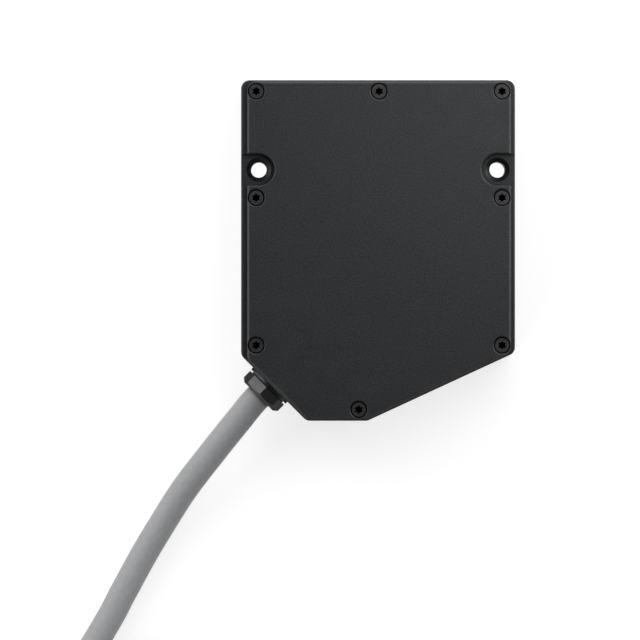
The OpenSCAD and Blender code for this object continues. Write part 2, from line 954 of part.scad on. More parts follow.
module receiver_screws() {
    color(steel)
    cradle_screw_places(strap_z) screw(strap_z - floor_t + cradle_bite);
}

module image_sensor() {
    color("slategray")
    at_sensor()
        difference() {
            translate([-sensor_l / 2, -sensor_t, optics_z - sensor_h / 2])
                cube([sensor_l, sensor_t, sensor_h]);
            translate([-sensor_l / 2 + sensor_frame, -sensor_recess, optics_z - sensor_h / 2 + sensor_frame])
                cube([sensor_l - 2 * sensor_frame, sensor_t, sensor_h - 2 * sensor_frame]);
        }
}

module sensor_board() {
    color(board_green)
    difference() {
        at_sensor()
            translate([-sensor_board_l / 2, -sensor_board_back, sensor_board_low])
                cube([sensor_board_l, board_t, sensor_board_high - sensor_board_low]);
        sensor_screw_places() screw_hole(board_t + over);
    }
}

module sensor_bracket() {
    color("gray")
    difference() {
        at_sensor()
            translate([-sensor_board_l / 2, 0, floor_t])
                union() {
                    translate([0, -sensor_board_back - sensor_bracket_t, 0])
                        cube([sensor_board_l, sensor_bracket_t, sensor_board_high - floor_t]);
                    translate([0, -sensor_board_back - sensor_foot_l, 0])
                        cube([sensor_board_l, sensor_foot_l, foot_t]);
                }
        sensor_screw_places() screw_hole(inner_screw_l);
        at_sensor()
            for (x = [-sensor_foot_x, sensor_foot_x])
                translate([x, sensor_foot_y, floor_t + foot_t]) screw_hole(foot_t + over);
    }
}

module sensor_link() {
    color("ivory")
    at_sensor()
        translate([-link_w / 2, -sensor_t, optics_z + sensor_h / 2 + part_gap])
            cube([link_w, link_t, board_z - optics_z - sensor_h / 2 - part_gap]);
}

module light_baffle() {
    color(rubber)
    difference() {
        union() {
            translate([baffle_x, laser_rear_y, floor_t])
                cube([baffle_t, inner_front_y - laser_rear_y, housing_h - floor_t - baffle_headroom]);
            translate([baffle_x, baffle_foot_y, floor_t])
                cube([baffle_t + baffle_foot_w, baffle_foot_l, foot_t]);
        }
        for (p = baffle_foot_places)
            at(p, floor_t + foot_t) screw_hole(foot_t + over);
    }
}

module main_board() {
    color(board_green)
    difference() {
        slab(
            inset(outline, [board_back, board_margin, board_margin, board_margin, board_margin, board_margin]),
            board_corner_r, board_z, board_t
        );
        for (p = post_places)
            at(p, board_top_z) screw_hole(board_t + over);
    }
}

// Flat chip on a thin frame of leads
module chip(place, w, l) {
    at(place, board_top_z) {
        translate([-w / 2 - pin_l, -l / 2 - pin_l, 0]) cube([w + 2 * pin_l, l + 2 * pin_l, lead_h]);
        translate([-w / 2, -l / 2, 0]) cube([w, l, chip_h]);
    }
}

module board_chips() {
    color("black") {
        chip(processor_place, processor_w, processor_w);
        chip(memory_place, memory_w, memory_l);
        chip(driver_place, driver_w, driver_w);
    }
}

module board_passives() {
    color("tan")
    for (side = [-1, 1]) {
        for (i = [-2 : 2])
            at(processor_place + [i * passive_pitch, side * (processor_w / 2 + passive_pitch)], board_top_z)
                translate([-passive_w / 2, -passive_l / 2, 0])
                    cube([passive_w, passive_l, passive_w]);
        at(memory_place + [side * capacitor_apart, -memory_l - capacitor_d / 2], board_top_z)
            cylinder(d = capacitor_d, h = capacitor_h);
    }
}

module inner_screws() {
    color(steel) {
        for (p = post_places)
            at(p, board_top_z) screw(inner_screw_l);
        floor_screw_places() screw(inner_screw_l);
        sensor_screw_places() screw(inner_screw_l);
    }
}

module cable_header() {
    color("ivory")
    translate([gland_face.x, gland_face.y, board_z - header_h]) rotate(gland_heading)
        translate([-header_s - header_l, -header_w / 2, 0])
            cube([header_l, header_w, header_h]);
}

module gland_body() {
    color(steel)
    at_gland()
        difference() {
            union() {
                cylinder(d = collar_d, h = collar_h);
                cylinder(d = gland_thread_d, h = gland_neck_l);
                translate([0, 0, -wall - locknut_h - spigot_out])
                    cylinder(d = gland_spigot_d, h = wall + locknut_h + spigot_out + collar_h / 2);
            }
            translate([0, 0, -tail_l]) cylinder(d = gland_bore_d, h = tail_l + gland_end);
        }
}

module gland_washer() {
    color(rubber)
    at_gland() translate([0, 0, collar_h])
        tube(nut_d - 2 * washer_in, gland_thread_d + 2 * fit, gland_washer_h);
}

module gland_seal() {
    color(rubber)
    at_gland() translate([0, 0, gland_neck_l])
        tube(gland_thread_d, cord_d + 2 * fit, gland_seal_h);
}

module gland_nut() {
    color(steel)
    at_gland() translate([0, 0, collar_h + gland_washer_h])
        difference() {
            intersection() {
                rotate(nut_turn) cylinder(d = nut_d, h = nut_h, $fn = 8);
                rotate_extrude()
                    polygon([
                        [0, 0],
                        [nut_d / 2 + nut_taper_r, 0],
                        [nut_d / 2 + nut_taper_r, nut_h - 2 * nut_taper_h],
                        [nut_d / 2 - nut_taper_r, nut_h],
                        [0, nut_h]
                    ]);
            }
            translate([0, 0, -over])
                cylinder(d = gland_thread_d + 2 * fit, h = nut_h - nut_end_wall + over);
            cylinder(d = gland_bore_d, h = nut_h + over);
        }
}

module gland_locknut() {
    color(steel)
    at_gland() translate([0, 0, -wall - locknut_h])
        difference() {
            cylinder(d = locknut_d, h = locknut_h, $fn = 6);
            translate([0, 0, -over]) cylinder(d = gland_spigot_d + 2 * fit, h = locknut_h + 2 * over);
        }
}

module cable_tail() {
    color(cable_grey)
    at_gland() translate([0, 0, -tail_l]) cylinder(d = cord_d, h = tail_l + gland_end);
}

// Ring of points around a place on a route
function ring(centre, along, r, sides) =
    let (side = unit(cross(along, [0, 0, 1])), up = cross(side, along))
    [for (k = [0 : sides - 1]) centre + r * (cos(360 * k / sides) * side + sin(360 * k / sides) * up)];

// Round tube along a route, with its end faces square to the given directions
module swept_tube(points, d, sides, first, last) {
    n = len(points);
    directions = [
        for (i = [0 : n - 1])
            i == 0 ? first : i == n - 1 ? last : unit(points[i + 1] - points[i - 1])
    ];
    polyhedron(
        points = [for (i = [0 : n - 1]) each ring(points[i], directions[i], d / 2, sides)],
        faces = [
            [for (k = [sides - 1 : -1 : 0]) k],
            for (i = [0 : n - 2], k = [0 : sides - 1])
                let (a = i * sides, next = (k + 1) % sides)
                [a + k, a + next, a + sides + next, a + sides + k],
            [for (k = [0 : sides - 1]) (n - 1) * sides + k]
        ]
    );
}

module cable_cores() {
    color("white")
    for (k = [0 : core_n - 1]) {
        lateral = k - (core_n - 1) / 2;
        start = gland_face - gland_out * tail_l
            + gland_side * lateral * core_pitch + [0, 0, k % 2 == 0 ? -core_drop : core_rise];
        end = [gland_face.x, gland_face.y, board_z - header_h / 2] - gland_out * header_s
            + gland_side * lateral * header_pitch;
        swept_tube(
            [start, start - gland_out * core_lead, end + gland_out * core_lead, end],
            core_d, core_sides, -gland_out, -gland_out
        );
    }
}

module cable() {
    color(cable_grey)
    swept_tube(concat(route, [lead_in]), cord_d, cord_sides, gland_out, coil_heading_v);
}

// Section of the coil, or of a strap that is thicker all round by the given amount
module coil_section(grow) {
    c = coil_chamfer + grow * (2 - sqrt(2));
    r_in = coil_ring_in - grow;
    r_out = coil_ring_out + grow;
    low = tie_t - grow;
    top = coil_ring_top + grow;
    polygon([
        [r_in, low + c], [r_in + c, low], [r_out - c, low], [r_out, low + c],
        [r_out, top - c], [r_out - c, top], [r_in + c, top], [r_in, top - c]
    ]);
}

module cable_coil() {
    color(cable_grey)
    union() {
        translate([coil_centre.x, coil_centre.y, 0])
            rotate_extrude() coil_section(0);
        translate(lead_in) rotate([0, 90, coil_heading]) cylinder(d = cord_d, h = lead_l);
        translate(coil_leave) rotate([0, 90, 0]) cylinder(d = cord_d, h = lead_l);
    }
}

module coil_ties() {
    color(rubber)
    for (a = tie_places)
        translate([coil_centre.x, coil_centre.y, 0]) rotate(a)
            rotate_extrude(angle = tie_angle)
                difference() {
                    coil_section(tie_t);
                    coil_section(fit);
                }
}

module cable_end() {
    color(cable_grey)
    swept_tube(
        [
            for (i = [0 : plug_drop_steps])
                let (t = i / plug_drop_steps, ease = t * t * (3 - 2 * t))
                lead_out + [t * (plug_rear.x - lead_out.x), 0, ease * (plug_z - upper_z)]
        ],
        cord_d, cord_sides, [1, 0, 0], [1, 0, 0]
    );
}

module plug_body() {
    color("black")
    at_plug()
        rotate_extrude()
            polygon([
                [0, 0],
                for (i = [0 : relief_ribs - 1])
                    let (r = relief_r + i * relief_step, s = i * relief_pitch)
                    each [
                        [r, s],
                        [r, s + relief_pitch - relief_groove],
                        [r - relief_groove, s + relief_pitch - relief_groove],
                        [r - relief_groove, s + relief_pitch]
                    ],
                [plug_body_r, relief_ribs * relief_pitch + relief_end],
                [plug_body_r, plug_l - plug_neck_l],
                [plug_neck_r, plug_l - plug_neck_l],
                [plug_neck_r, plug_l],
                [0, plug_l]
            ]);
}

module plug_ring() {
    color("silver")
    at_plug(plug_ring_s)
        difference() {
            union() {
                cylinder(d = plug_d, h = plug_grip_l);
                cylinder(d = plug_thread_d, h = plug_ring_l);
            }
            translate([0, 0, -over]) cylinder(r = plug_neck_r + fit, h = plug_l - plug_ring_s + over);
            cylinder(d = plug_sleeve_d, h = plug_ring_l + over);
            for (a = [0 : 360 / knurl_n : 359])
                rotate(a) translate([plug_d / 2 + knurl_r / 3, 0, -over])
                    cylinder(r = knurl_r, h = plug_grip_l + 2 * over);
        }
}

module plug_seal() {
    color(rubber)
    at_plug(plug_ring_s + plug_grip_l + plug_seal_r)
        rotate_extrude()
            translate([plug_thread_d / 2 + plug_seal_r + fit, 0]) circle(plug_seal_r);
}

module plug_pin_places() {
    for (k = [0 : plug_pins_n - 1])
        rotate(360 * k / plug_pins_n) translate([plug_pin_ring, 0, 0]) children();
}

module plug_insert() {
    color("black")
    at_plug(plug_l)
        difference() {
            cylinder(d = plug_insert_d, h = plug_insert_l);
            translate([-key_w / 2, plug_insert_d / 2 - key_depth, key_up]) cube([key_w, key_w, plug_insert_l]);
            translate([0, 0, -over])
                plug_pin_places() cylinder(d = plug_pin_d + 2 * fit, h = plug_insert_l + 2 * over);
        }
}

module plug_pins() {
    color("gold")
    at_plug(plug_l)
        plug_pin_places() cylinder(d = plug_pin_d, h = plug_pin_l);
}

housing();
cover();
cover_gasket();
cover_screws();
laser_window();
laser_window_seal();
receiver_window();
receiver_window_seal();
laser_barrel();
collimator_lens();
lens_retainer();
laser_diode();
laser_block();
laser_set_screw();
laser_board();
laser_link();
receiver_barrel();
receiver_front_lens();
receiver_rear_lens();
lens_spacer();
receiver_retainer();
bandpass_filter();
receiver_cradle();
receiver_strap();
receiver_screws();
image_sensor();
sensor_board();
sensor_bracket();
sensor_link();
light_baffle();
main_board();
board_chips();
board_passives();
cable_header();
cable_cores();
inner_screws();
gland_body();
gland_washer();
gland_seal();
gland_nut();
gland_locknut();
cable_tail();
cable();
cable_coil();
coil_ties();
cable_end();
plug_body();
plug_ring();
plug_seal();
plug_insert();
plug_pins();
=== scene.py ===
import json
import math
import bpy
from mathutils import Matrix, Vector


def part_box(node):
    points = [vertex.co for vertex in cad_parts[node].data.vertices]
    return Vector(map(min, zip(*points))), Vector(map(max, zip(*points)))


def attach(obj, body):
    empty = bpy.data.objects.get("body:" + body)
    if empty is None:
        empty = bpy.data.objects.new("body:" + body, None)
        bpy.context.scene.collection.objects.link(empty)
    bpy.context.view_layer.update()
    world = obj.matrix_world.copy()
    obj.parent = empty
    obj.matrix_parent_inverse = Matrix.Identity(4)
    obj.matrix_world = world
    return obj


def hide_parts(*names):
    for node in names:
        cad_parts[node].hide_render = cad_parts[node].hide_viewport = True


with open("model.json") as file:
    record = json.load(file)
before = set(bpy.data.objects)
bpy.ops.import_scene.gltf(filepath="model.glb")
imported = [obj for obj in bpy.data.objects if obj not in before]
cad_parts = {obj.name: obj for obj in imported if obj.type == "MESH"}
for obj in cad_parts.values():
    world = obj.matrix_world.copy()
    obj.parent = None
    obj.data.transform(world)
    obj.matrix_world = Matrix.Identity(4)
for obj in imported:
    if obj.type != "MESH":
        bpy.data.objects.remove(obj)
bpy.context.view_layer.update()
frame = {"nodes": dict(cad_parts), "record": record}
nodes = frame["nodes"]
MM = 0.001

# Camera: straight down on the cover, far away behind a long lens
FRAME_CENTRE = Vector((-16.53, -19.8)) * MM
FRAME_WIDTH = 182.1 * MM
SENSOR_WIDTH = 36.0
LENS = 800.0
CLIP_START = 0.1
CLIP_END = 50.0


def make_camera():
    """Camera whose picture is FRAME_WIDTH across at the height of the cover."""
    data = bpy.data.cameras.new("camera")
    data.sensor_width = SENSOR_WIDTH
    data.lens = LENS
    data.clip_start = CLIP_START
    data.clip_end = CLIP_END
    camera = bpy.data.objects.new("camera", data)
    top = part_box("cover")[1][2]
    distance = FRAME_WIDTH * LENS / SENSOR_WIDTH
    camera.location = (FRAME_CENTRE.x, FRAME_CENTRE.y, top + distance)
    bpy.context.scene.collection.objects.link(camera)
    bpy.context.scene.camera = camera


# Cable: the route from the gland to the coil, the coil's turns with its straps and the drop to the plug
CORD_D = 7.8 * MM
GLAND_OUT = Vector((-math.sqrt(0.5), -math.sqrt(0.5), 0.0))
CABLE_EXIT = Vector((-34.105, -41.625, 13.5)) * MM
ROUTE = [
    (-40.3, -49, 12.6),
    (-48.3, -59, 9.4),
    (-55.2, -68, 6.4),
    (-61, -77, 4.4),
    (-67, -87, 3.9),
    (-73, -98, 3.9),
    (-79, -109, 4),
]
ROUTE_STEPS = 6
COIL_CENTRE = Vector((-50.7, -175.7, 0.0)) * MM
COIL_R = 58.8 * MM
COIL_PITCH = 8.2 * MM
COIL_LOWER_Z = 4.85 * MM
COIL_ENTRY_ANGLE = 150.0
COIL_TURNS = 6 + 120 / 360
COIL_RISE = 0.45
COIL_HEADING = Vector((-0.5, -math.sqrt(0.75), 0.0))
STEPS_PER_TURN = 60
COIL_LEAVE = 15 * MM
DROP_STEPS = 12
TUBE_RESOLUTION = 7
STRAP_T = 0.8 * MM
STRAP_SLACK = 0.4 * MM


def hermite(points, first, last, steps):
    """Smooth points through the given ones, with the given end directions."""
    count = len(points)
    tangents = []
    for i in range(count):
        before = points[max(i - 1, 0)]
        after = points[min(i + 1, count - 1)]
        tangents.append((after - before) / 2)
    tangents[0] = first * (points[1] - points[0]).length
    tangents[-1] = last * (points[-1] - points[-2]).length
    made = [points[0]]
    for i in range(count - 1):
        for k in range(1, steps + 1):
            t = k / steps
            made.append(
                points[i] * (2 * t**3 - 3 * t**2 + 1)
                + tangents[i] * (t**3 - 2 * t**2 + t)
                + points[i + 1] * (3 * t**2 - 2 * t**3)
                + tangents[i + 1] * (t**3 - t**2)
            )
    return made


def ease(t):
    """Runs from 0 to 1 with level ends."""
    return t * t * (3 - 2 * t)


def coil_point(turn):
    """Point of the coil: the lower layer winds in, climbs over its last turn and winds out on top."""
    lower_turns = (COIL_TURNS + 1) / 2 - COIL_RISE
    if turn <= lower_turns:
        r = COIL_R - COIL_PITCH * turn
        z = COIL_LOWER_Z
    elif turn <= lower_turns + COIL_RISE:
        climb = math.pi / 2 * ease((turn - lower_turns) / COIL_RISE)
        r = COIL_R - COIL_PITCH * (turn - 1) - COIL_PITCH * math.cos(climb)
        z = COIL_LOWER_Z + COIL_PITCH * math.sin(climb)
    else:
        r = COIL_R - COIL_PITCH * (COIL_TURNS - turn)
        z = COIL_LOWER_Z + COIL_PITCH
    angle = math.radians(COIL_ENTRY_ANGLE) + 2 * math.pi * turn
    return COIL_CENTRE + Vector((r * math.cos(angle), r * math.sin(angle), z))


def cable_points():
    """Middle line of the whole cable, from the gland to the rear of the plug."""
    route = [CABLE_EXIT] + [Vector(p) * MM for p in ROUTE] + [coil_point(0)]
    points = hermite(route, GLAND_OUT, COIL_HEADING, ROUTE_STEPS)
    turn_steps = round(COIL_TURNS * STEPS_PER_TURN)
    points += [coil_point(COIL_TURNS * i / turn_steps) for i in range(1, turn_steps + 1)]
    low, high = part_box("plug_body")
    plug_rear = Vector((low[0], (low[1] + high[1]) / 2, (low[2] + high[2]) / 2))
    straight = points[-1] + Vector((COIL_LEAVE, 0, 0))
    points.append(straight)
    for i in range(1, DROP_STEPS + 1):
        t = i / DROP_STEPS
        points.append(Vector((
            straight.x + t * (plug_rear.x - straight.x),
            straight.y + ease(t) * (plug_rear.y - straight.y),
            straight.z + ease(t) * (plug_rear.z - straight.z),
        )))
    return points


def turn_reach(angle):
    """Least and greatest distance of the turns from the coil's middle, at an angle in turns."""
    first = (angle - COIL_ENTRY_ANGLE / 360) % 1
    turns = [first + i for i in range(math.floor(COIL_TURNS - first) + 1)]
    distances = [(coil_point(turn) - COIL_CENTRE).xy.length for turn in turns]
    return min(distances), max(distances)


def draw_in(strap):
    """Moves the inner and the outer wall of one strap's loop up to the turns that it holds."""
    offsets = [(vertex.co - COIL_CENTRE).xy for vertex in strap]
    lengths = [offset.length for offset in offsets]
    inner = min(lengths)
    outer = max(lengths)
    middle = sum(offsets, Vector((0.0, 0.0)))
    least, greatest = turn_reach(math.atan2(middle.y, middle.x) / (2 * math.pi))
    room = CORD_D / 2 + STRAP_SLACK + STRAP_T
    inner_shift = max(least - room - inner, 0.0)
    outer_shift = min(greatest + room - outer, 0.0)
    for vertex, offset, length in zip(strap, offsets, lengths):
        shift = outer_shift if length > (inner + outer) / 2 else inner_shift
        vertex.co += (offset * shift / length).to_3d()


def make_straps():
    """The loops of the two solid straps, drawn in until they lie on the turns."""
    source = nodes["coil_ties"]
    mesh = source.data.copy()
    mesh.transform(source.matrix_world)
    draw_in([vertex for vertex in mesh.vertices if vertex.co.x > COIL_CENTRE.x])
    draw_in([vertex for vertex in mesh.vertices if vertex.co.x <= COIL_CENTRE.x])
    piece = bpy.data.objects.new("cable_straps", mesh)
    bpy.context.scene.collection.objects.link(piece)
    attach(piece, "root")
    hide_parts("coil_ties")
    return piece


def make_cable():
    """One drawn tube in place of the plain solids of the cable."""
    points = cable_points()
    curve = bpy.data.curves.new("sensor_cable", "CURVE")
    curve.dimensions = "3D"
    curve.bevel_depth = 1.0
    curve.bevel_resolution = TUBE_RESOLUTION
    curve.use_fill_caps = True
    spline = curve.splines.new("POLY")
    spline.points.add(len(points) - 1)
    for place, point in zip(spline.points, points):
        place.co = (*point, 1.0)
        place.radius = CORD_D / 2
    spline.use_smooth = True
    piece = bpy.data.objects.new("sensor_cable", curve)
    bpy.context.scene.collection.objects.link(piece)
    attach(piece, "root")
    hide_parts("cable", "cable_coil", "cable_end")
    return piece


make_camera()
straps = make_straps()
cable = make_cable()


# Node trees: what the materials, the floor and the world share
def ranged(tree, source, low, high, at_low=0.0, at_high=1.0, kind="LINEAR"):
    """Takes a value from low..high to at_low..at_high and no further; gives the output."""
    node = tree.nodes.new("ShaderNodeMapRange")
    node.interpolation_type = kind
    node.inputs["From Min"].default_value = low
    node.inputs["From Max"].default_value = high
    node.inputs["To Min"].default_value = at_low
    node.inputs["To Max"].default_value = at_high
    tree.links.new(source, node.inputs["Value"])
    return node.outputs["Result"]


def math_node(tree, operation, first, second=None):
    """A Math node whose second input may be a number; gives its output."""
    node = tree.nodes.new("ShaderNodeMath")
    node.operation = operation
    tree.links.new(first, node.inputs[0])
    if isinstance(second, float):
        node.inputs[1].default_value = second
    elif second is not None:
        tree.links.new(second, node.inputs[1])
    return node.outputs[0]


# Materials: every surface has its own node tree, with its grain in object space
SHADE_BAND = (0.32, 0.68)
ROUGHNESS_BAND = (0.3, 0.7)
GRAIN_DETAIL = 3.0
# Painted shade in recesses: the ambient-occlusion bands over which the colour darkens and the gloss fades
RECESS_SHADE_BAND = (0.35, 0.9)
RECESS_GLOSS_FADE = (0.1, 0.5)
RECESS_SHADE_SAMPLES = 8


def new_material(name, colour, roughness, metallic=0.0):
    material = bpy.data.materials.new(name)
    material.use_nodes = True
    shader = shader_of(material)
    shader.inputs["Base Color"].default_value = (*colour, 1.0)
    shader.inputs["Roughness"].default_value = roughness
    shader.inputs["Metallic"].default_value = metallic
    return material


def shader_of(material):
    return material.node_tree.nodes["Principled BSDF"]


def add(material, kind, **settings):
    node = material.node_tree.nodes.new(kind)
    for key, value in settings.items():
        setattr(node, key, value)
    return node


def join(material, source, output, target, into):
    material.node_tree.links.new(source.outputs[output], target.inputs[into])


def object_place(material):
    """Object coordinates, in metres, shared by the textures of one material."""
    found = material.node_tree.nodes.get("object place")
    if found is None:
        found = add(material, "ShaderNodeTexCoord", name="object place")
    return found


def noise(material, feature, detail=4.0):
    """Noise whose lumps are about the given size across, in metres."""
    node = add(material, "ShaderNodeTexNoise")
    node.inputs["Scale"].default_value = 1.0 / feature
    node.inputs["Detail"].default_value = detail
    join(material, object_place(material), "Object", node, "Vector")
    return node


def vary_colour(material, feature, dark, light, detail=4.0):
    """Colour that wanders between two shades."""
    ramp = add(material, "ShaderNodeValToRGB")
    for stop, position, colour in zip(ramp.color_ramp.elements, SHADE_BAND, (dark, light)):
        stop.position = position
        stop.color = (*colour, 1.0)
    join(material, noise(material, feature, detail), "Fac", ramp, "Fac")
    join(material, ramp, "Color", shader_of(material), "Base Color")


def vary_roughness(material, feature, low, high):
    """Roughness that wanders between two values."""
    tree = material.node_tree
    lumps = noise(material, feature).outputs["Fac"]
    tree.links.new(ranged(tree, lumps, *ROUGHNESS_BAND, low, high), shader_of(material).inputs["Roughness"])


def relief(material, source, depth, strength):
    """Bumps that follow source, on top of those that the material has."""
    bump = add(material, "ShaderNodeBump")
    bump.inputs["Strength"].default_value = strength
    bump.inputs["Distance"].default_value = depth
    join(material, source, "Fac", bump, "Height")
    shader = shader_of(material)
    before = shader.inputs["Normal"].links
    if before:
        join(material, before[0].from_node, "Normal", bump, "Normal")
    join(material, bump, "Normal", shader, "Normal")


def grain(material, feature, depth, strength):
    """Fine relief over the surface."""
    relief(material, noise(material, feature, GRAIN_DETAIL), depth, strength)


def shade_colour(material, share):
    """Multiplies the material's colour by share, the output of a node."""
    mix = add(material, "ShaderNodeMix", data_type="RGBA", blend_type="MULTIPLY")
    mix.inputs["Factor"].default_value = 1.0
    colour = shader_of(material).inputs["Base Color"]
    links = material.node_tree.links
    links.new(colour.links[0].from_socket, mix.inputs["A"])
    links.new(share, mix.inputs["B"])
    links.new(mix.outputs["Result"], colour)


def paint_recess_shade(material, reach):
    """Painted shade: darkens the colour in recesses whose walls stand closer than reach; the deep ones lose
    their gloss too, a painted loss of reflection.
    """
    tree = material.node_tree
    shade = add(material, "ShaderNodeAmbientOcclusion", samples=RECESS_SHADE_SAMPLES)
    shade.inputs["Distance"].default_value = reach
    openness = shade.outputs["AO"]
    shade_colour(material, ranged(tree, openness, *RECESS_SHADE_BAND))
    gloss = shader_of(material).inputs["Specular IOR Level"]
    tree.links.new(ranged(tree, openness, *RECESS_GLOSS_FADE, 0.0, gloss.default_value), gloss)


def paint_depth_shade(material, level, depth):
    """Painted shade: lets the colour go black from a height of level down to depth below it."""
    height = add(material, "ShaderNodeSeparateXYZ")
    join(material, object_place(material), "Object", height, "Vector")
    shade_colour(material, ranged(material.node_tree, height.outputs["Z"], level - depth, level))


def powder_coat():
    """Matte dark powder coat with a fine mottle."""
    coat = new_material("powder_coat", (0.0105, 0.0128, 0.0148), 0.46)
    shader_of(coat).inputs["Specular IOR Level"].default_value = 0.44
    vary_colour(coat, 0.5 * MM, (0.003, 0.0053, 0.0073), (0.0175, 0.0198, 0.0218), detail=2.0)
    # Painted shade in recesses such as the gaps round the screw heads and the groove at the cover's edge
    paint_recess_shade(coat, 1.2 * MM)
    vary_roughness(coat, 6 * MM, 0.42, 0.49)
    grain(coat, 0.35 * MM, 0.05 * MM, strength=0.35)
    return coat


def black_oxide():
    """Blackened steel screws: satin heads; the black in the drive recess and around the edge is painted
    shade.
    """
    oxide = new_material("black_oxide", (0.055, 0.056, 0.058), 0.46, metallic=1.0)
    vary_colour(oxide, 1.5 * MM, (0.048, 0.049, 0.051), (0.062, 0.063, 0.065))
    # Painted shade: the drive recesses, and the screws from just under the top of the heads downward, go
    # black
    paint_recess_shade(oxide, 0.8 * MM)
    paint_depth_shade(oxide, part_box("cover_screws")[1][2] - 0.35 * MM, 0.25 * MM)
    vary_roughness(oxide, 1.2 * MM, 0.42, 0.5)
    grain(oxide, 0.25 * MM, 0.02 * MM, strength=0.3)
    return oxide


def black_nickel():
    """Dark plated gland: dull towards its edges; the black in the gaps is painted shade."""
    plating = new_material("gland_metal", (0.085, 0.086, 0.089), 0.4, metallic=1.0)
    shader_of(plating).inputs["Specular Tint"].default_value = (0.25, 0.25, 0.25, 1.0)
    vary_colour(plating, 3 * MM, (0.08, 0.081, 0.084), (0.09, 0.091, 0.094))
    # Painted shade in the gaps between nut, collar and cable
    paint_recess_shade(plating, 1.0 * MM)
    vary_roughness(plating, 1.5 * MM, 0.36, 0.44)
    grain(plating, 0.4 * MM, 0.01 * MM, strength=0.25)
    return plating


def cable_jacket():
    """Grey matte jacket with a fine grain."""
    jacket = new_material("cable_jacket", (0.34, 0.347, 0.357), 0.42)
    shader_of(jacket).inputs["Specular IOR Level"].default_value = 0.22
    vary_colour(jacket, 1.2 * MM, (0.323, 0.33, 0.34), (0.357, 0.364, 0.374))
    # Painted shade in narrow gaps, such as where the jacket enters the nut
    paint_recess_shade(jacket, 1.5 * MM)
    vary_roughness(jacket, 4 * MM, 0.38, 0.48)
    grain(jacket, 0.3 * MM, 0.03 * MM, strength=0.25)
    return jacket


def shades(colour, darker, lighter):
    """Two shades of a colour, as shares of it."""
    return [darker * c for c in colour], [lighter * c for c in colour]


def rubber(name, colour):
    """Dull rubber with a fine grain."""
    made = new_material(name, colour, 0.7)
    vary_colour(made, 2 * MM, *shades(colour, 0.85, 1.15))
    grain(made, 0.25 * MM, 0.03 * MM, strength=0.4)
    return made


def moulded(name, colour, roughness=0.45):
    """Moulded plastic: even colour, a faint sparked texture."""
    made = new_material(name, colour, roughness)
    vary_colour(made, 4 * MM, *shades(colour, 0.93, 1.07))
    vary_roughness(made, 3 * MM, roughness - 0.06, roughness + 0.06)
    grain(made, 0.2 * MM, 0.02 * MM, strength=0.3)
    return made


def metal(name, colour, roughness):
    """Bare or plated metal with a faint grain."""
    made = new_material(name, colour, roughness, metallic=1.0)
    vary_colour(made, 3 * MM, *shades(colour, 0.92, 1.06))
    vary_roughness(made, 1.5 * MM, roughness - 0.07, roughness + 0.07)
    grain(made, 0.4 * MM, 0.01 * MM, strength=0.25)
    return made


def glass(name, tint):
    """Clear or tinted glass, a little uneven in its polish."""
    made = new_material(name, tint, 0.02)
    shader = shader_of(made)
    shader.inputs["Transmission Weight"].default_value = 1.0
    shader.inputs["IOR"].default_value = 1.5
    vary_roughness(made, 8 * MM, 0.02, 0.05)
    return made


def woven(name, colour):
    """Strap webbing: two crossed sets of threads."""
    made = new_material(name, colour, 0.85)
    vary_colour(made, 1.5 * MM, *shades(colour, 0.8, 1.3))
    for direction in ("X", "Z"):
        threads = add(made, "ShaderNodeTexWave", bands_direction=direction)
        threads.inputs["Scale"].default_value = 1.0 / (3.0 * MM)
        threads.inputs["Distortion"].default_value = 0.6
        join(made, object_place(made), "Object", threads, "Vector")
        relief(made, threads, 0.15 * MM, strength=0.5)
    return made


def dress(material, name):
    slots = nodes[name].data.materials
    slots.clear()
    slots.append(material)


def dress_nodes():
    """One material for each slot of the record, put on every node of that slot."""
    finishes = {
        "body_paint": powder_coat(),
        "seal_rubber": rubber("seal_rubber", (0.015, 0.015, 0.016)),
        "black_steel": black_oxide(),
        "window_glass": glass("window_glass", (0.28, 0.05, 0.05)),
        "black_aluminium": metal("black_aluminium", (0.04, 0.04, 0.042), 0.45),
        "lens_glass": glass("lens_glass", (0.92, 0.96, 1.0)),
        "filter_glass": glass("filter_glass", (0.45, 0.03, 0.03)),
        "diode_metal": metal("diode_metal", (0.75, 0.58, 0.28), 0.25),
        "bare_aluminium": metal("bare_aluminium", (0.62, 0.63, 0.64), 0.4),
        "bright_steel": metal("bright_steel", (0.55, 0.55, 0.56), 0.3),
        "board_laminate": moulded("board_laminate", (0.02, 0.13, 0.06), 0.35),
        "connector_plastic": moulded("connector_plastic", (0.75, 0.72, 0.62)),
        "chip_plastic": moulded("chip_plastic", (0.02, 0.02, 0.022), 0.55),
        "passive_ceramic": moulded("passive_ceramic", (0.5, 0.38, 0.22), 0.4),
        "core_plastic": moulded("core_plastic", (0.6, 0.6, 0.58), 0.4),
        "black_plastic": moulded("black_plastic", (0.02, 0.02, 0.021), 0.5),
        "gland_metal": black_nickel(),
        "cable_jacket": cable_jacket(),
        "strap_fabric": woven("strap_fabric", (0.02, 0.02, 0.021)),
        "plug_metal": metal("plug_metal", (0.55, 0.54, 0.52), 0.3),
        "contact_gold": metal("contact_gold", (0.83, 0.62, 0.25), 0.22),
    }
    for part in frame["record"]["subparts"]:
        dress(finishes[part["material_slot"]], part["node"])
    cable.data.materials.append(finishes["cable_jacket"])
    straps.data.materials.clear()
    straps.data.materials.append(finishes["strap_fabric"])


# Light: a near key panel, wide low panels on three sides, two panels on the left and a room
WALL_LIGHT = 0.95
CEILING_LIGHT = 0.09
WALL_TOP = 0.35
NEAR_SHARE = 0.35
NEAR_BAND = (-0.8, 0.2)


def make_panel(name, place, aim, size, radiance):
    """A soft panel facing aim; an area lamp's radiance is its power over pi times its area."""
    data = bpy.data.lights.new(name, "AREA")
    data.shape = "RECTANGLE"
    data.size, data.size_y = size
    data.energy = radiance * math.pi * size[0] * size[1]
    panel = bpy.data.objects.new(name, data)
    panel.location = place
    panel.rotation_euler = (Vector(aim) - Vector(place)).to_track_quat("-Z", "Y").to_euler()
    panel.visible_camera = False
    bpy.context.scene.collection.objects.link(panel)


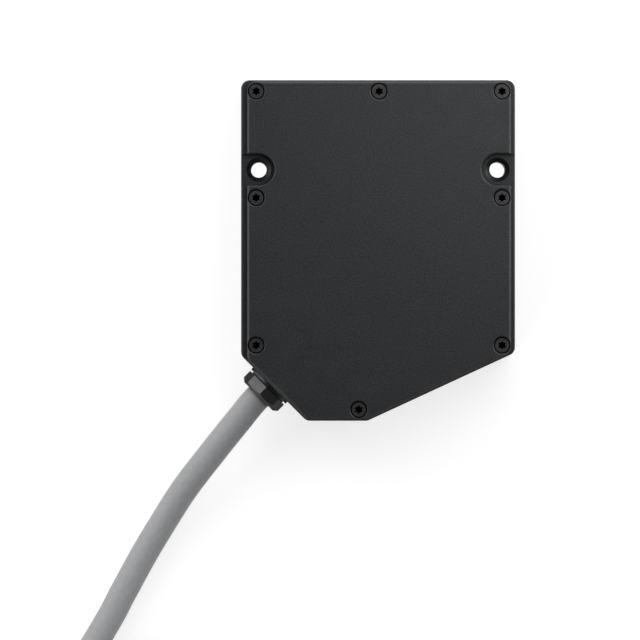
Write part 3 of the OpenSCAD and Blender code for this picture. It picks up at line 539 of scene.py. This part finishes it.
def make_light():
    """The panels, with place, aim and size in metres; all but one face the middle of the cover."""
    cover_middle = (0.0, 0.0, 0.03)
    cable_middle = (-0.05, -0.08, 0.0)
    make_panel("key", (0.06, 0.07, 0.27), cover_middle, (0.14, 0.1), 3.2)
    make_panel("front", (0.06, 0.45, 0.15), cover_middle, (0.6, 0.22), 2.5)
    make_panel("right", (0.42, 0.22, 0.13), cover_middle, (0.5, 0.2), 4.4)
    make_panel("left", (-0.46, 0.06, 0.13), cover_middle, (0.5, 0.2), 1.9)
    make_panel("upper_left", (-0.3, 0.22, 0.36), cover_middle, (0.26, 0.26), 2.6)
    make_panel("near_left", (-0.22, -0.3, 0.22), cable_middle, (0.2, 0.2), 2.3)


def make_world():
    """A pale room with a dark ceiling, dimmer on the near side."""
    world = bpy.data.worlds.new("world")
    bpy.context.scene.world = world
    world.use_nodes = True
    tree = world.node_tree
    tree.nodes.clear()
    place = tree.nodes.new("ShaderNodeTexCoord")
    parts = tree.nodes.new("ShaderNodeSeparateXYZ")
    tree.links.new(place.outputs["Generated"], parts.inputs[0])
    up = ranged(tree, parts.outputs["Z"], WALL_TOP, 1.0, WALL_LIGHT, CEILING_LIGHT, "SMOOTHSTEP")
    near = ranged(tree, parts.outputs["Y"], *NEAR_BAND, NEAR_SHARE, 1.0, "SMOOTHSTEP")
    light = tree.nodes.new("ShaderNodeBackground")
    out = tree.nodes.new("ShaderNodeOutputWorld")
    tree.links.new(math_node(tree, "MULTIPLY", up, near), light.inputs["Strength"])
    tree.links.new(light.outputs[0], out.inputs["Surface"])


# Floor: grey paper for the light that falls on it, with a glow of its own for the camera
FLOOR_HALF = 6.0
FLOOR_PAPER = (0.5, 0.5, 0.5, 1.0)
FLOOR_GLOW = 0.69


def camera_share(tree):
    """1 for a ray that shows the surface, straight or in metal or glass, 0 for light on its way."""
    path = tree.nodes.new("ShaderNodeLightPath")
    share = path.outputs["Is Camera Ray"]
    for kind in ("Is Glossy Ray", "Is Transmission Ray"):
        share = math_node(tree, "MAXIMUM", share, path.outputs[kind])
    return share


def painted_glow_under_holes(tree):
    """1 on the spots of the floor that show through the mounting holes, 0 elsewhere; there the floor glows
    white, a painted light in place of the shade in the holes.
    """
    holes = frame["record"]["mounts"][0]
    across = holes["dims"]["spacing_x_mm"] / 2 * MM
    reach = 2 * holes["dims"]["hole_r_mm"] * MM
    place = tree.nodes.new("ShaderNodeTexCoord")
    parts = tree.nodes.new("ShaderNodeSeparateXYZ")
    folded = tree.nodes.new("ShaderNodeCombineXYZ")
    apart = tree.nodes.new("ShaderNodeVectorMath")
    apart.operation = "DISTANCE"
    apart.inputs[1].default_value = (across, holes["pos_m"][1], 0.0)
    tree.links.new(place.outputs["Object"], parts.inputs[0])
    tree.links.new(math_node(tree, "ABSOLUTE", parts.outputs["X"]), folded.inputs["X"])
    tree.links.new(parts.outputs["Y"], folded.inputs["Y"])
    tree.links.new(folded.outputs[0], apart.inputs[0])
    return math_node(tree, "LESS_THAN", apart.outputs["Value"], reach)


def make_floor():
    """Paper that keeps the shadow and shows almost white, and glows fully white under the holes, a painted
    light over the shade there.
    """
    mesh = bpy.data.meshes.new("floor")
    corners = [(FLOOR_HALF * x, FLOOR_HALF * y, 0) for x, y in ((-1, -1), (1, -1), (1, 1), (-1, 1))]
    mesh.from_pydata(corners, [], [(0, 1, 2, 3)])
    floor = bpy.data.objects.new("floor", mesh)
    bpy.context.scene.collection.objects.link(floor)
    material = bpy.data.materials.new("floor_paper")
    material.use_nodes = True
    tree = material.node_tree
    tree.nodes.clear()
    paper = tree.nodes.new("ShaderNodeBsdfDiffuse")
    paper.inputs["Color"].default_value = FLOOR_PAPER
    glow = tree.nodes.new("ShaderNodeEmission")
    both = tree.nodes.new("ShaderNodeAddShader")
    out = tree.nodes.new("ShaderNodeOutputMaterial")
    # Painted light: the glow rises to full white under the mounting holes
    level = ranged(tree, painted_glow_under_holes(tree), 0.0, 1.0, FLOOR_GLOW, 1.0)
    tree.links.new(math_node(tree, "MULTIPLY", level, camera_share(tree)), glow.inputs["Strength"])
    tree.links.new(paper.outputs[0], both.inputs[0])
    tree.links.new(glow.outputs[0], both.inputs[1])
    tree.links.new(both.outputs[0], out.inputs["Surface"])
    mesh.materials.append(material)


dress_nodes()
make_light()
make_world()
make_floor()
bpy.context.scene.view_settings.view_transform = "Standard"
